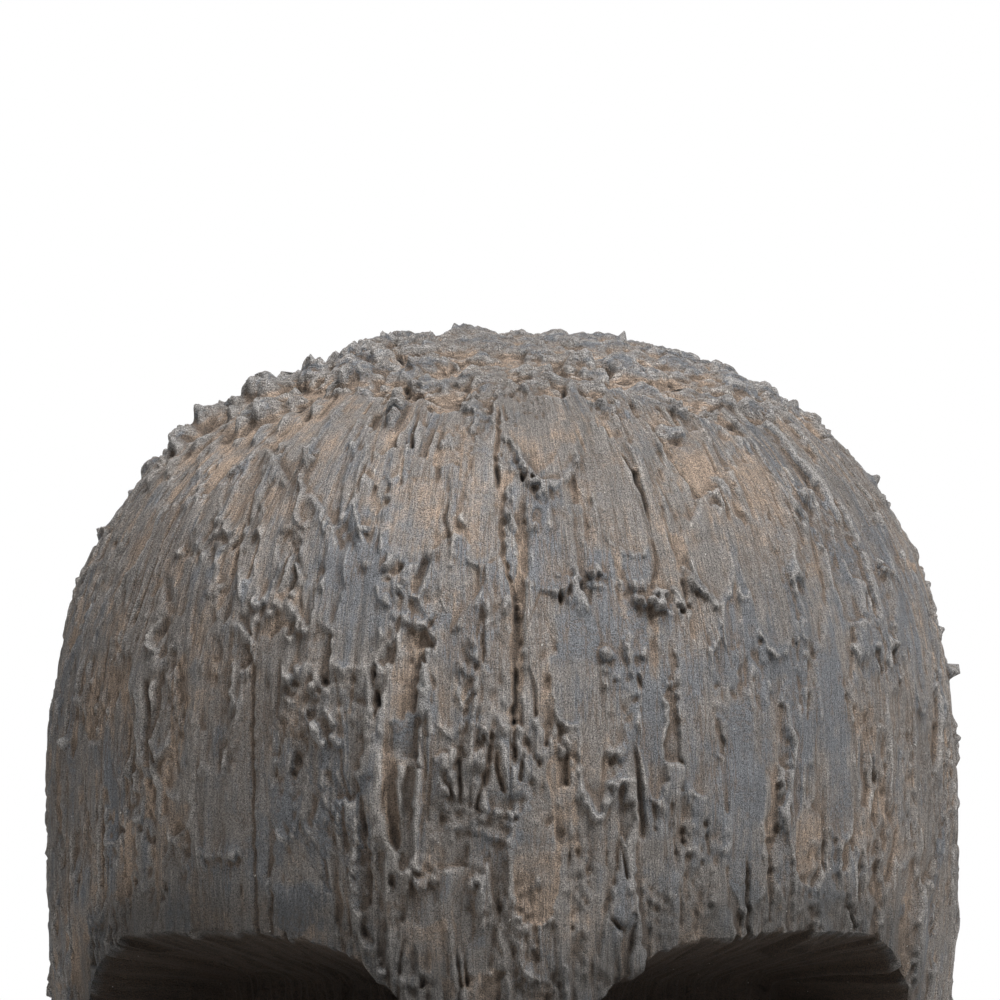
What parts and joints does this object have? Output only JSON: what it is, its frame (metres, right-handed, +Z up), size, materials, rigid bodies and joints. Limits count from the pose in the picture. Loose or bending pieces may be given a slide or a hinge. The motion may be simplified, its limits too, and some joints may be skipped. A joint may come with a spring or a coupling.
{
  "type": "tiki figure",
  "caption": "Free-standing carved dome-headed figure with deep eye sockets, hollow shells bonded at the sides, ballasted base and rubber feet.",
  "frame": {"origin": "on the floor, under the middle of the figure", "axes": "+Z up, the figure faces -Y, +X is to the viewer's right"},
  "size_m": [0.4, 0.4, 1.2],
  "materials": {
    "carved_body": "sanded composite, painted and dry-brushed, matt",
    "laminate": "glass mat in resin, rough",
    "board": "resin-faced plywood, dark brown film",
    "insert_brass": "machined brass, plain",
    "zinc_steel": "zinc-plated steel",
    "foot_rubber": "moulded black rubber, matt",
    "grommet_rubber": "moulded black rubber, matt",
    "ballast_concrete": "cast concrete"
  },
  "bodies": {
    "root": {"front_shell": "carved_body", "back_shell": "carved_body", "seam_strip_left": "laminate", "seam_strip_right": "laminate", "crown_strip": "laminate", "base_board": "board", "lug_inserts": "insert_brass", "board_washers": "zinc_steel", "board_bolts": "zinc_steel", "anchor_inserts": "insert_brass", "rubber_feet": "foot_rubber", "foot_washers": "zinc_steel", "foot_screws": "zinc_steel", "drain_grommet": "grommet_rubber", "ballast_block": "ballast_concrete", "ballast_washers": "zinc_steel", "ballast_bolt": "zinc_steel", "ballast_nut": "zinc_steel"}
  },
  "joints": []
}
